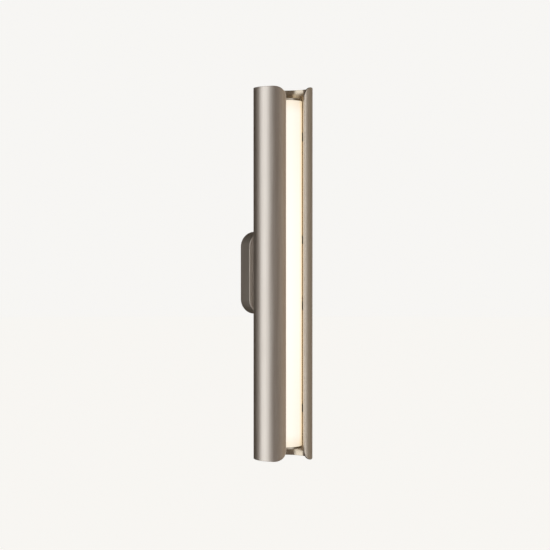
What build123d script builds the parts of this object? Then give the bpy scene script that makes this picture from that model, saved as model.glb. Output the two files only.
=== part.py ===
"""Tube wall light: a slotted metal tube around a glowing opal tube, on a wall canopy.

Millimetres. The wall is the plane Y = 0 and the room is on its -Y side. +Z is up.
The origin is the centre of the wall plate's back face, midway between its two slots.
"""

from build123d import *
import math
import os

os.makedirs("parts", exist_ok=True)

# ---- Driving dimensions ----

# Slotted outer shell
shell_od = 80.0
shell_wall = 3.5
shell_length = 502.0
slot_width = 27.0
slot_corner_r = 15.0
rim_r = 0.4

# Inner tube: an opal cover on an aluminium spine, closed by two caps
opal_od = 51.0
opal_wall = 2.0
opal_inset = 18.0
cap_thickness = 3.0
cap_rim_chamfer = 0.4
cap_ring_height = 4.0
cap_ring_wall = 1.5
cap_ring_gap = 1.5
cap_screw_length = 10.0

# Spine section
spine_shelf = 7.0
spine_flat_depth = 1.0
spine_web = 10.0
spine_skin = 3.0
port_inset = 3.7
port_angle = 53.0
port_boss_r = 3.2
ledge_rise = 2.4
snap_drop = 3.9
snap_r = 1.1

# Light board
board_width = 20.0
board_thickness = 1.6
board_end_margin = 6.0
rail_wall = 1.5
rail_lip = 1.0
rail_lip_thickness = 1.2
chip_pitch = 12.0
chip_width = 2.8
chip_height = 3.5
chip_thickness = 0.7

# Canopy and saddle
canopy_width = 61.0
canopy_height = 114.0
canopy_depth = 29.0
canopy_corner_r = 21.0
canopy_edge_r = 1.0
canopy_wall = 2.0
canopy_screw_y = 9.0
canopy_screw_length = 7.0
saddle_thickness = 2.0
saddle_width = 28.0
saddle_end_margin = 7.0
saddle_corner_r = 6.0

# Fixings along the tube
fixing_inset = 11.0
end_fixing_inset = 62.0
fixing_thread = 8.0
spacer_r = 6.0
washer_r = 4.5
washer_thickness = 0.8

# Wall plate
plate_thickness = 2.0
plate_gap = 0.4
wall_screw_spacing = 83.3
wall_slot_width = 5.0
wall_slot_length = 9.0
cable_hole_r = 7.5
bush_wall = 1.5
bush_lip = 1.5
bush_lip_thickness = 1.2
bush_lip_taper = 0.8
ear_width = 14.0
ear_reach = 14.0
ear_bend_r = 1.5

# Driver
driver_width = 38.0
driver_length = 44.0
driver_height = 11.5
driver_wall = 1.5
driver_corner_r = 2.0
driver_lead_height = 7.0
driver_lid_thickness = 1.6
driver_lid_rim = 1.5
driver_pad_height = 1.0
driver_pad_r = 3.2
driver_tab_width = 10.0
driver_tab_length = 7.0
driver_tab_thickness = 1.6
driver_thread = 2.0
circuit_thickness = 1.2
circuit_gap = 0.5
core_size = 13.0
core_height = 5.0
can_r = 4.0
can_height = 6.5
choke_r = 3.0
part_gap = 1.0
socket_depth = 4.5

# Supply terminals
block_ways = 3
block_pitch = 8.0
block_depth = 11.0
block_height = 9.5
block_corner_r = 1.0
block_z = 29.5
clamp_r = 2.5
clamp_bore_r = 1.6
clamp_length = 10.0
clamp_axis_height = 5.0
terminal_screw_r = 1.3
terminal_screw_length = 3.0

# Earth connection
earth_x = 17.5
earth_z = -4.0
stud_length = 10.0
nut_flats = 7.0
nut_height = 3.2
ring_r = 4.0
ring_thickness = 0.8
ring_neck_width = 3.0
barrel_wall = 0.6
barrel_length = 6.0

# Leads
mains_lead_r = 1.2
low_lead_r = 0.9
low_lead_spacing = 2.6
low_bend_r = 5.0
lead_hole_r = 3.0
lead_z = -36.0
grommet_r = 3.7
grommet_bore_r = 2.5
grommet_flange_r = 4.6
grommet_flange_thickness = 1.0

# Screws: shank radius, head radius, head height
m4_r = 2.0
m4_head_r = 4.0
m4_head_height = 2.6
m3_r = 1.5
m3_head_r = 2.9
m3_head_height = 1.9
m2_r = 1.0
m2_head_r = 1.9
m2_head_height = 1.4

# Screw ends, as shares of the shank's radius, the head's radius and the head's height
tip_taper = 0.4
pan_crown = 0.7
pan_side = 0.45

# Small rounds on moulded pieces
moulded_edge_r = 0.5

# Two bends of this share of a gap turn a lead round in it and leave a short straight between
turn_share = 0.49

# Fits
slip_fit = 0.3
clear_fit = 0.25
thread_fit = 0.1
seat_gap = 0.1

# ---- Places that follow from them ----

shell_r = shell_od / 2
shell_inner_r = shell_r - shell_wall
axis_y = -(canopy_depth + saddle_thickness + shell_r)
shell_back = axis_y + shell_r
shell_inner_back = axis_y + shell_inner_r

opal_r = opal_od / 2
opal_inner_r = opal_r - opal_wall
opal_length = shell_length - 2 * opal_inset
spine_side_r = opal_inner_r - slip_fit
spine_flat = opal_r - spine_flat_depth
spine_back = axis_y + spine_flat
port_x = (opal_r - port_inset) * math.cos(math.radians(port_angle))
port_y = (opal_r - port_inset) * math.sin(math.radians(port_angle))
ledge_y = port_y - ledge_rise
snap_y = ledge_y - snap_drop
snap_x = math.sqrt(opal_inner_r**2 - snap_y**2)
rail_inner = board_width / 2 + slip_fit
rail_outer = rail_inner + rail_wall
rail_height = board_thickness + slip_fit
rail_top = spine_shelf - rail_height - rail_lip_thickness

board_length = opal_length - 2 * board_end_margin
board_back = axis_y + spine_shelf
board_front = board_back - board_thickness
chip_pairs = 1 + int((board_length - chip_height - chip_pitch) / (2 * chip_pitch))

canopy_floor = canopy_wall - canopy_depth
inner_width = canopy_width - 2 * canopy_wall
inner_height = canopy_height - 2 * canopy_wall
inner_corner_r = canopy_corner_r - canopy_wall
plate_width = inner_width - 2 * plate_gap
plate_height = inner_height - 2 * plate_gap
plate_corner_r = inner_corner_r - plate_gap

fixing_z = canopy_height / 2 - fixing_inset
end_fixing_z = shell_length / 2 - end_fixing_inset
fixing_places = [-fixing_z, fixing_z]
end_fixing_places = [-end_fixing_z, end_fixing_z]
saddle_height = 2 * (fixing_z + saddle_end_margin)

driver_base = canopy_floor + driver_pad_height
driver_top = driver_base + driver_height
driver_lead_y = driver_base + driver_lead_height
tab_hole_z = (driver_length + driver_tab_length) / 2
tab_places = [-tab_hole_z, tab_hole_z]
circuit_width = driver_width - 2 * (driver_wall + circuit_gap)
circuit_length = driver_length - 2 * (driver_wall + circuit_gap)
circuit_top = driver_base + driver_wall + circuit_thickness
socket_z = (circuit_length - socket_depth) / 2
lead_end_z = circuit_length / 2

way_places = [(way - (block_ways - 1) / 2) * block_pitch for way in range(block_ways)]
mains_places = way_places[:2]
earth_way_x = way_places[-1]
block_screw_x = (way_places[-1] + way_places[-2]) / 2
block_face = -plate_thickness - block_height
clamp_y = -plate_thickness - clamp_axis_height
clamp_screw_places = [block_z - clamp_length / 4, block_z + clamp_length / 4]


def section_plane(z):
    """A plane across the tube at height z, with its origin on the tube's axis."""
    return Plane(origin=(0, axis_y, z), x_dir=(1, 0, 0), z_dir=(0, 0, 1))


def wall_plane(y, x=0.0, z=0.0):
    """A plane parallel to the wall that faces it: local x is -X and local y is +Z."""
    return Plane(origin=(x, y, z), x_dir=(-1, 0, 0), z_dir=(0, 1, 0))


def pan_head(shank_r, head_r, head_height, length):
    """Half outline of a pan-head screw: its head sits at y = 0, its tip is at -length."""
    with BuildSketch(mode=Mode.PRIVATE) as half:
        with BuildLine():
            Polyline(
                (0, head_height),
                (head_r * pan_crown, head_height),
                (head_r, head_height * pan_side),
                (head_r, 0),
                (shank_r, 0),
                (shank_r, shank_r * tip_taper - length),
                (shank_r * (1 - tip_taper), -length),
                (0, -length),
                close=True,
            )
        make_face()
    return half.sketch


def flat_head(shank_r, head_r, length):
    """Half outline of a countersunk screw: its face is at y = 0, its tip is at -length."""
    with BuildSketch(mode=Mode.PRIVATE) as half:
        with BuildLine():
            Polyline(
                (0, 0),
                (head_r, 0),
                (shank_r, shank_r - head_r),
                (shank_r, shank_r * tip_taper - length),
                (shank_r * (1 - tip_taper), -length),
                (0, -length),
                close=True,
            )
        make_face()
    return half.sketch


def write(builder, name):
    """Label one finished piece and write its STEP file."""
    builder.part.label = name
    export_step(builder.part, f"parts/{name}.step")


# ---- Slotted shell ----

with BuildPart() as shell_tube:
    with BuildSketch(section_plane(-shell_length / 2)):
        Circle(shell_r)
        Circle(shell_inner_r, mode=Mode.SUBTRACT)
    extrude(amount=shell_length)
    # The slot is milled straight in from the front and flares out round at both ends.
    with BuildSketch(wall_plane(axis_y)) as slot_outline:
        Rectangle(slot_width, shell_length)
        with GridLocations(0, shell_length + slot_corner_r, 1, 2):
            Rectangle(slot_width + 4 * slot_corner_r, slot_corner_r)
        inner_corners = slot_outline.vertices().filter_by_position(
            Axis.X, -slot_width / 2, slot_width / 2
        )
        fillet(inner_corners, slot_corner_r)
    extrude(amount=-shell_r, mode=Mode.SUBTRACT)
    # The rims and the slot's edges are eased all round, first outside and then inside.
    outer_face = shell_tube.faces().filter_by(GeomType.CYLINDER).sort_by(SortBy.AREA)[-1]
    fillet(outer_face.edges(), rim_r)
    inner_face = shell_tube.faces().filter_by(GeomType.CYLINDER).sort_by(SortBy.AREA)[-2]
    fillet(inner_face.edges(), rim_r)
    # Holes in the back: fixings to the canopy, far fixings and the leads.
    for z in fixing_places:
        with Locations(wall_plane(shell_back, z=z)):
            Hole(m4_r + clear_fit, depth=2 * shell_wall)
    for z in end_fixing_places:
        with Locations(wall_plane(shell_back, z=z)):
            CounterSinkHole(
                m4_r + clear_fit, m4_head_r + clear_fit, 2 * shell_wall, counter_sink_angle=90
            )
    with Locations(wall_plane(shell_back, z=lead_z)):
        Hole(grommet_r + seat_gap, depth=2 * shell_wall)
write(shell_tube, "shell_tube")


# ---- Inner tube ----

with BuildPart() as opal_cover:
    with BuildSketch(section_plane(-opal_length / 2)):
        Circle(opal_r)
        Circle(opal_inner_r, mode=Mode.SUBTRACT)
        # Small ribs inside both edges snap into the spine.
        with Locations((snap_x, snap_y), (-snap_x, snap_y)):
            Circle(snap_r)
        with Locations((0, ledge_y - slip_fit)):
            Rectangle(opal_od, opal_od, align=(Align.CENTER, Align.MIN), mode=Mode.SUBTRACT)
    extrude(amount=opal_length)
write(opal_cover, "opal_cover")

with BuildPart() as spine_profile:
    with BuildSketch(section_plane(-opal_length / 2)):
        # The back continues the round of the cover.
        Circle(opal_r)
        with Locations((0, ledge_y)):
            Rectangle(opal_od, opal_od, align=(Align.CENTER, Align.MAX), mode=Mode.SUBTRACT)
        # The shoulder in front of it fits inside the cover.
        with BuildSketch(mode=Mode.PRIVATE) as shoulder:
            Circle(spine_side_r)
            with Locations((0, spine_shelf)):
                Rectangle(opal_od, opal_od, align=(Align.CENTER, Align.MAX), mode=Mode.SUBTRACT)
        add(shoulder.sketch)
        # The spacers stand on a flat along the back.
        with Locations((0, spine_flat)):
            Rectangle(opal_od, opal_od, align=(Align.CENTER, Align.MIN), mode=Mode.SUBTRACT)
        # Two chambers leave a solid web that takes the fixing screws.
        with BuildSketch(mode=Mode.PRIVATE) as chambers:
            Circle(opal_r - spine_skin)
            with Locations((0, spine_shelf + spine_skin)):
                Rectangle(opal_od, opal_od, align=(Align.CENTER, Align.MAX), mode=Mode.SUBTRACT)
            Rectangle(2 * (snap_x - snap_r - spine_skin), opal_od, mode=Mode.INTERSECT)
            Rectangle(spine_web, opal_od, mode=Mode.SUBTRACT)
            with Locations((port_x, port_y), (-port_x, port_y)):
                Circle(port_boss_r, mode=Mode.SUBTRACT)
        add(chambers.sketch, mode=Mode.SUBTRACT)
        # Ports for the cap screws.
        with Locations((port_x, port_y), (-port_x, port_y)):
            Circle(m3_r + thread_fit, mode=Mode.SUBTRACT)
        # Grooves for the ribs of the cover.
        with Locations((snap_x, snap_y), (-snap_x, snap_y)):
            Circle(snap_r + slip_fit, mode=Mode.SUBTRACT)
        # Hooked rails that the light board slides into.
        with BuildLine():
            Polyline(
                (rail_inner, spine_shelf),
                (rail_inner, spine_shelf - rail_height),
                (rail_inner - rail_lip, spine_shelf - rail_height),
                (rail_inner - rail_lip, rail_top),
                (rail_outer, rail_top),
                (rail_outer, spine_shelf),
                close=True,
            )
        make_face()
        mirror(about=Plane.YZ)
    extrude(amount=opal_length)
    for z in fixing_places + end_fixing_places:
        with Locations(wall_plane(spine_back, z=z)):
            Hole(m4_r + thread_fit, depth=fixing_thread + m4_r)
    with Locations(wall_plane(spine_back, z=lead_z)):
        Hole(lead_hole_r, depth=opal_r)
write(spine_profile, "spine_profile")

with BuildPart() as led_board:
    with BuildSketch(section_plane(-board_length / 2)):
        with Locations((0, spine_shelf)):
            Rectangle(board_width, board_thickness, align=(Align.CENTER, Align.MAX))
    extrude(amount=board_length)
    with Locations(wall_plane(board_back, z=lead_z)):
        Hole(lead_hole_r, depth=2 * board_thickness)
write(led_board, "led_board")

with BuildPart() as led_chips:
    with BuildSketch(wall_plane(board_front)):
        with GridLocations(chip_pitch, chip_pitch, 1, 2 * chip_pairs):
            Rectangle(chip_width, chip_height)
    extrude(amount=-chip_thickness)
write(led_chips, "led_chips")

# Each cap is a disc with a part ring that locates it inside the cover.
for end_name, end in (("top", 1), ("bottom", -1)):
    cap_seat = Plane(origin=(0, axis_y, end * opal_length / 2), x_dir=(end, 0, 0), z_dir=(0, 0, end))
    with BuildPart() as end_cap:
        with BuildSketch(cap_seat):
            Circle(opal_r)
        extrude(amount=cap_thickness)
        outer_rim = end_cap.edges().filter_by(GeomType.CIRCLE).sort_by(Axis.Z, reverse=end > 0)[0]
        chamfer(outer_rim, cap_rim_chamfer)
        with BuildSketch(cap_seat):
            Circle(spine_side_r)
            Circle(spine_side_r - cap_ring_wall, mode=Mode.SUBTRACT)
            with Locations((0, rail_top - cap_ring_gap)):
                Rectangle(opal_od, opal_od, align=(Align.CENTER, Align.MIN), mode=Mode.SUBTRACT)
        extrude(amount=-cap_ring_height)
        for x in (-port_x, port_x):
            with Locations(cap_seat * Pos(x, port_y, cap_thickness)):
                CounterSinkHole(
                    m3_r + clear_fit, m3_head_r + clear_fit, cap_thickness, counter_sink_angle=90
                )
    write(end_cap, f"{end_name}_end_cap")

with BuildPart() as end_cap_screws:
    for end in (1, -1):
        cap_face = end * (opal_length / 2 + cap_thickness)
        for x in (-port_x, port_x):
            screw_face = Plane(
                origin=(x, axis_y + port_y, cap_face), x_dir=(1, 0, 0), z_dir=(0, -end, 0)
            )
            with BuildSketch(screw_face):
                add(flat_head(m3_r, m3_head_r, cap_screw_length))
            revolve(axis=Axis(screw_face.origin, (0, 0, 1)))
write(end_cap_screws, "end_cap_screws")

with BuildPart() as spine_spacers:
    for z in fixing_places + end_fixing_places:
        with BuildSketch(wall_plane(spine_back, z=z)):
            Circle(spacer_r)
            Circle(m4_r + clear_fit, mode=Mode.SUBTRACT)
        extrude(amount=shell_r)
    # The outer end follows the inside of the shell.
    with BuildSketch(section_plane(-shell_length / 2)):
        Circle(shell_inner_r - seat_gap)
    extrude(amount=shell_length, mode=Mode.INTERSECT)
write(spine_spacers, "spine_spacers")


# ---- Saddle, canopy and fixings ----

with BuildPart() as saddle_block:
    with BuildSketch(wall_plane(-canopy_depth)):
        RectangleRounded(saddle_width, saddle_height, saddle_corner_r)
    extrude(amount=-shell_r)
    # The front is hollowed to the round of the shell.
    with BuildSketch(section_plane(-shell_length / 2)):
        Circle(shell_r + seat_gap)
        Rectangle(2 * shell_od, 2 * shell_od, align=(Align.CENTER, Align.MAX))
    extrude(amount=shell_length, mode=Mode.SUBTRACT)
    for z in fixing_places:
        with Locations(wall_plane(-canopy_depth, z=z)):
            Hole(m4_r + clear_fit, depth=shell_r)
    with Locations(wall_plane(-canopy_depth, z=lead_z)):
        Hole(grommet_r + seat_gap, depth=shell_r)
write(saddle_block, "saddle_block")


def canopy_screw_plane(end, height):
    """A plane on the top (end 1) or bottom (end -1) wall of the canopy, facing out."""
    return Plane(origin=(0, -canopy_screw_y, end * height / 2), x_dir=(1, 0, 0), z_dir=(0, 0, end))


with BuildPart() as canopy:
    with BuildSketch(wall_plane(0)):
        RectangleRounded(canopy_width, canopy_height, canopy_corner_r)
    extrude(amount=-canopy_depth)
    fillet(canopy.faces().sort_by(Axis.Y)[0].edges(), canopy_edge_r)
    with BuildSketch(wall_plane(0)):
        RectangleRounded(inner_width, inner_height, inner_corner_r)
    extrude(amount=canopy_floor, mode=Mode.SUBTRACT)
    # Tapped pads that the driver stands on.
    with BuildSketch(wall_plane(canopy_floor)):
        with GridLocations(0, 2 * tab_hole_z, 1, 2):
            Circle(driver_pad_r)
    extrude(amount=driver_pad_height)
    for z in tab_places:
        with Locations(wall_plane(driver_base, z=z)):
            Hole(m3_r + thread_fit, depth=driver_thread + 2 * seat_gap)
    for z in fixing_places:
        with Locations(wall_plane(canopy_floor, z=z)):
            Hole(m4_r + clear_fit, depth=2 * canopy_wall)
    with Locations(wall_plane(canopy_floor, z=lead_z)):
        Hole(grommet_r + seat_gap, depth=2 * canopy_wall)
    for end in (1, -1):
        with Locations(canopy_screw_plane(end, canopy_height)):
            CounterSinkHole(
                m3_r + clear_fit, m3_head_r + clear_fit, 2 * canopy_wall, counter_sink_angle=90
            )
write(canopy, "canopy")

with BuildPart() as fixing_washers:
    for z in fixing_places:
        with BuildSketch(wall_plane(canopy_floor, z=z)):
            Circle(washer_r)
            Circle(m4_r + clear_fit, mode=Mode.SUBTRACT)
        extrude(amount=washer_thickness)
write(fixing_washers, "fixing_washers")

with BuildPart() as fixing_screws:
    for z in fixing_places:
        washer_face = canopy_floor + washer_thickness
        screw_seat = Plane(origin=(0, washer_face, z), x_dir=(1, 0, 0), z_dir=(0, 0, 1))
        shank_length = washer_face - spine_back + fixing_thread
        with BuildSketch(screw_seat):
            add(pan_head(m4_r, m4_head_r, m4_head_height, shank_length))
        revolve(axis=Axis(screw_seat.origin, (0, 1, 0)))
write(fixing_screws, "fixing_screws")

with BuildPart() as end_fixing_screws:
    for z in end_fixing_places:
        screw_face = Plane(origin=(0, shell_back, z), x_dir=(1, 0, 0), z_dir=(0, 0, 1))
        with BuildSketch(screw_face):
            add(flat_head(m4_r, m4_head_r, shell_back - spine_back + fixing_thread))
        revolve(axis=Axis(screw_face.origin, (0, 1, 0)))
write(end_fixing_screws, "end_fixing_screws")

with BuildPart() as lead_grommet:
    with BuildSketch(wall_plane(canopy_floor, z=lead_z)):
        Circle(grommet_flange_r)
    extrude(amount=grommet_flange_thickness)
    with BuildSketch(wall_plane(canopy_floor, z=lead_z)):
        Circle(grommet_r)
    extrude(amount=shell_inner_back - canopy_floor)
    flange_rim = lead_grommet.edges().filter_by(GeomType.CIRCLE).sort_by(Axis.Y)[-1]
    fillet(flange_rim, moulded_edge_r)
    with Locations(wall_plane(canopy_floor + grommet_flange_thickness, z=lead_z)):
        Hole(grommet_bore_r, depth=shell_r)
write(lead_grommet, "lead_grommet")


# ---- Wall plate ----

with BuildPart() as wall_plate:
    with BuildSketch(wall_plane(0)):
        RectangleRounded(plate_width, plate_height, plate_corner_r)
        with GridLocations(0, wall_screw_spacing, 1, 2):
            SlotOverall(wall_slot_length, wall_slot_width, rotation=90, mode=Mode.SUBTRACT)
        Circle(cable_hole_r, mode=Mode.SUBTRACT)
    extrude(amount=-plate_thickness)
    # An ear is bent forward at the top and at the bottom.
    with BuildSketch(wall_plane(-plate_thickness)):
        with GridLocations(0, plate_height - plate_thickness, 1, 2):
            Rectangle(ear_width, plate_thickness)
    extrude(amount=plate_thickness - ear_reach)
    plate_front = wall_plate.faces().filter_by(Axis.Y).sort_by(SortBy.AREA)[-2]
    inner_bends = plate_front.edges().filter_by(Axis.X)
    fillet(inner_bends, ear_bend_r)
    for end in (1, -1):
        with Locations(canopy_screw_plane(end, plate_height)):
            Hole(m3_r + thread_fit, depth=2 * plate_thickness)
    with Locations(wall_plane(0, x=earth_x, z=earth_z)):
        Hole(m4_r + thread_fit, depth=2 * plate_thickness)
    with Locations(wall_plane(0, x=block_screw_x, z=block_z)):
        Hole(m2_r + thread_fit, depth=2 * plate_thickness)
write(wall_plate, "wall_plate")

with BuildPart() as canopy_screws:
    for end in (1, -1):
        screw_origin = canopy_screw_plane(end, canopy_height).origin
        with BuildSketch(Plane(origin=screw_origin, x_dir=(1, 0, 0), z_dir=(0, -end, 0))):
            add(flat_head(m3_r, m3_head_r, canopy_screw_length))
        revolve(axis=Axis(screw_origin, (0, 0, 1)))
write(canopy_screws, "canopy_screws")

bush_r = cable_hole_r - seat_gap
bush_front = -plate_thickness - seat_gap

with BuildPart() as entry_bush:
    with BuildSketch(Plane.XY):
        with BuildLine():
            Polyline(
                (bush_r - bush_wall, 0),
                (bush_r, 0),
                (bush_r, bush_front),
                (bush_r + bush_lip, bush_front),
                (bush_r + bush_lip - bush_lip_taper, bush_front - bush_lip_thickness),
                (bush_r - bush_wall, bush_front - bush_lip_thickness),
                close=True,
            )
        make_face()
    revolve(axis=Axis.Y)
write(entry_bush, "entry_bush")


# ---- Driver ----

with BuildPart() as driver_case:
    with BuildSketch(wall_plane(driver_base)):
        RectangleRounded(driver_width, driver_length, driver_corner_r)
    extrude(amount=driver_height)
    with BuildSketch(wall_plane(driver_base)):
        with GridLocations(0, 2 * tab_hole_z, 1, 2):
            Rectangle(driver_tab_width, driver_tab_length)
    extrude(amount=driver_tab_thickness)
    with BuildSketch(wall_plane(driver_base + driver_wall)):
        Rectangle(driver_width - 2 * driver_wall, driver_length - 2 * driver_wall)
    extrude(amount=driver_height, mode=Mode.SUBTRACT)
    for z in tab_places:
        with Locations(wall_plane(driver_base + driver_tab_thickness, z=z)):
            Hole(m3_r + clear_fit, depth=2 * driver_tab_thickness)
    # Two holes for the mains leads at the top, one slot for the low-voltage pair at the bottom.
    for x in mains_places:
        with Locations(Plane(origin=(x, driver_lead_y, driver_length / 2), z_dir=(0, 0, 1))):
            Hole(mains_lead_r + clear_fit, depth=2 * driver_wall)
    low_end = Plane(origin=(0, driver_lead_y, -driver_length / 2), x_dir=(1, 0, 0), z_dir=(0, 0, -1))
    low_slot_height = 2 * (low_lead_r + clear_fit)
    with BuildSketch(low_end):
        SlotOverall(low_lead_spacing + low_slot_height, low_slot_height)
    extrude(amount=-2 * driver_wall, mode=Mode.SUBTRACT)
write(driver_case, "driver_case")

with BuildPart() as driver_lid:
    with BuildSketch(wall_plane(driver_top)):
        RectangleRounded(driver_width, driver_length, driver_corner_r)
    extrude(amount=driver_lid_thickness)
    fillet(driver_lid.faces().sort_by(Axis.Y)[-1].edges(), moulded_edge_r)
    rim_width = driver_width - 2 * (driver_wall + slip_fit)
    rim_length = driver_length - 2 * (driver_wall + slip_fit)
    with BuildSketch(wall_plane(driver_top)):
        Rectangle(rim_width, rim_length)
        Rectangle(rim_width - 2 * driver_wall, rim_length - 2 * driver_wall, mode=Mode.SUBTRACT)
    extrude(amount=-driver_lid_rim)
write(driver_lid, "driver_lid")

# The circuit board lies in the case with a core, two cans, a choke and the lead sockets on it.
with BuildPart() as driver_board:
    with BuildSketch(wall_plane(driver_base + driver_wall)):
        Rectangle(circuit_width, circuit_length)
    extrude(amount=circuit_thickness)
    can_x = circuit_width / 2 - can_r - part_gap
    with BuildSketch(wall_plane(circuit_top)):
        Rectangle(core_size, core_size)
        with Locations((can_x, -2 * can_r)):
            Circle(choke_r)
    extrude(amount=core_height)
    with BuildSketch(wall_plane(circuit_top)):
        with Locations((can_x, can_r), (-can_x, can_r)):
            Circle(can_r)
        with Locations((-sum(mains_places) / 2, socket_z)):
            Rectangle(block_pitch + socket_depth, socket_depth)
        with Locations((0, -socket_z)):
            Rectangle(low_lead_spacing + socket_depth, socket_depth)
    extrude(amount=can_height)
write(driver_board, "driver_board")

with BuildPart() as driver_screws:
    for z in tab_places:
        tab_face = driver_base + driver_tab_thickness
        screw_seat = Plane(origin=(0, tab_face, z), x_dir=(1, 0, 0), z_dir=(0, 0, 1))
        with BuildSketch(screw_seat):
            add(pan_head(m3_r, m3_head_r, m3_head_height, driver_tab_thickness + driver_thread))
        revolve(axis=Axis(screw_seat.origin, (0, 1, 0)))
write(driver_screws, "driver_screws")


# ---- Supply terminals ----

with BuildPart() as terminal_block:
    with BuildSketch(wall_plane(-plate_thickness, z=block_z)):
        RectangleRounded(block_ways * block_pitch, block_depth, block_corner_r)
    extrude(amount=-block_height)
    for x in way_places:
        with Locations(Plane(origin=(x, clamp_y, block_z + block_depth / 2), z_dir=(0, 0, 1))):
            Hole(clamp_r + seat_gap, depth=block_depth)
        for z in clamp_screw_places:
            with Locations(Plane(origin=(x, block_face, z), z_dir=(0, -1, 0))):
                Hole(terminal_screw_r + seat_gap, depth=block_height - clamp_axis_height)
    with Locations(Plane(origin=(block_screw_x, block_face, block_z), z_dir=(0, -1, 0))):
        CounterBoreHole(
            m2_r + thread_fit, m2_head_r + clear_fit, m2_head_height + seat_gap, depth=block_height
        )
write(terminal_block, "terminal_block")

with BuildPart() as terminal_tubes:
    for x in way_places:
        with BuildSketch(Plane(origin=(x, clamp_y, block_z - clamp_length / 2), z_dir=(0, 0, 1))):
            Circle(clamp_r)
            Circle(clamp_bore_r, mode=Mode.SUBTRACT)
        extrude(amount=clamp_length)
        for z in clamp_screw_places:
            with Locations(Plane(origin=(x, clamp_y - clamp_r, z), z_dir=(0, -1, 0))):
                Hole(terminal_screw_r + seat_gap, depth=clamp_r)
write(terminal_tubes, "terminal_tubes")

with BuildPart() as terminal_screws:
    for x in way_places:
        for z in clamp_screw_places:
            tip_y = clamp_y - mains_lead_r - seat_gap
            with BuildSketch(Plane(origin=(x, tip_y, z), z_dir=(0, -1, 0))):
                Circle(terminal_screw_r)
            extrude(amount=terminal_screw_length)
write(terminal_screws, "terminal_screws")

block_screw_seat = block_face + m2_head_height + seat_gap

with BuildPart() as terminal_fixing_screw:
    screw_seat = Plane(
        origin=(block_screw_x, block_screw_seat, block_z), x_dir=(-1, 0, 0), z_dir=(0, 0, 1)
    )
    with BuildSketch(screw_seat):
        add(pan_head(m2_r, m2_head_r, m2_head_height, -block_screw_seat - seat_gap))
    revolve(axis=Axis(screw_seat.origin, (0, 1, 0)))
write(terminal_fixing_screw, "terminal_fixing_screw")


# ---- Earth ----

barrel_r = mains_lead_r + thread_fit + barrel_wall
barrel_y = -plate_thickness - barrel_r
barrel_z = earth_z + ring_r
barrel_top = barrel_z + barrel_length

with BuildPart() as earth_stud:
    with BuildSketch(wall_plane(0, x=earth_x, z=earth_z)):
        Circle(m4_r)
    extrude(amount=-stud_length)
    chamfer(earth_stud.edges().sort_by(Axis.Y)[0], m4_r * tip_taper)
write(earth_stud, "earth_stud")

with BuildPart() as earth_ring:
    with BuildSketch(wall_plane(-plate_thickness, x=earth_x, z=earth_z)):
        Circle(ring_r)
        with Locations((0, ring_r)):
            Rectangle(ring_neck_width, ring_r)
        Circle(m4_r + clear_fit, mode=Mode.SUBTRACT)
    extrude(amount=-ring_thickness)
    with BuildSketch(Plane(origin=(earth_x, barrel_y, barrel_z), z_dir=(0, 0, 1))):
        Circle(barrel_r)
    extrude(amount=barrel_length)
    with Locations(Plane(origin=(earth_x, barrel_y, barrel_top), z_dir=(0, 0, 1))):
        Hole(mains_lead_r + thread_fit, depth=barrel_length)
write(earth_ring, "earth_ring")

with BuildPart() as earth_nut:
    with BuildSketch(wall_plane(-plate_thickness - ring_thickness, x=earth_x, z=earth_z)):
        RegularPolygon(nut_flats / 2, 6, major_radius=False)
        Circle(m4_r + thread_fit, mode=Mode.SUBTRACT)
    extrude(amount=-nut_height)
write(earth_nut, "earth_nut")


# ---- Internal leads ----


def make_lead(name, radius, points, bends):
    """A round lead along straight runs joined by arcs, from the first point to the last."""
    with BuildPart() as lead:
        with BuildLine():
            route = FilletPolyline(*points, radius=bends)
        with BuildSketch(Plane(origin=route @ 0, z_dir=route % 0)):
            Circle(radius)
        sweep(path=route)
    filled = lead.part.volume / (math.pi * radius**2 * route.length)
    print(f"{name}: {route.length:.1f} mm long, volume over section times length {filled:.3f}")
    write(lead, name)


# Live and neutral turn round above the terminals and run down into the driver.
block_top = block_z + block_depth / 2
mains_start_z = block_z + clamp_length / 2 - 2 * mains_lead_r
mains_bend_r = turn_share * (clamp_y - driver_lead_y)
mains_turn_z = block_top + mains_bend_r
for lead_name, x in zip(("live_lead", "neutral_lead"), mains_places):
    mains_points = [
        (x, clamp_y, mains_start_z),
        (x, clamp_y, mains_turn_z),
        (x, driver_lead_y, mains_turn_z),
        (x, driver_lead_y, lead_end_z),
    ]
    make_lead(lead_name, mains_lead_r, mains_points, [mains_bend_r, mains_bend_r])

# The earth lead turns round beside the terminals and runs down to the ring on the stud.
earth_bend_r = turn_share * (earth_x - earth_way_x)
earth_turn_z = block_top + earth_bend_r
earth_points = [
    (earth_way_x, clamp_y, mains_start_z),
    (earth_way_x, clamp_y, earth_turn_z),
    (earth_x, clamp_y, earth_turn_z),
    (earth_x, clamp_y, block_z - block_depth),
    (earth_x, barrel_y, barrel_top + barrel_length),
    (earth_x, barrel_y, barrel_top - barrel_length / 2),
]
earth_bends = [earth_bend_r, earth_bend_r, 2 * earth_bend_r, 2 * earth_bend_r]
make_lead("earth_lead", mains_lead_r, earth_points, earth_bends)

# The low-voltage pair goes through the walls and the spine and ends on the light board.
pad_y = board_front - low_lead_r - seat_gap
pad_z = lead_z - lead_hole_r - low_lead_r
for lead_name, side in (("led_lead_positive", 1), ("led_lead_negative", -1)):
    x = side * low_lead_spacing / 2
    low_points = [
        (x, driver_lead_y, -lead_end_z),
        (x, driver_lead_y, lead_z),
        (x, pad_y, lead_z),
        (x, pad_y, pad_z),
    ]
    make_lead(lead_name, low_lead_r, low_points, [low_bend_r, 2 * low_lead_r])
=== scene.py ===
# %% [markdown]
# # Tube wall light
# A slotted metal tube stands in front of a flat canopy, and a glowing opal tube runs inside it.
# The CAD model already has every piece at its real size. This script gives each piece its finish,
# remodels the screws with their drives and threads, and lights everything like a product shot.

import math

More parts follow.
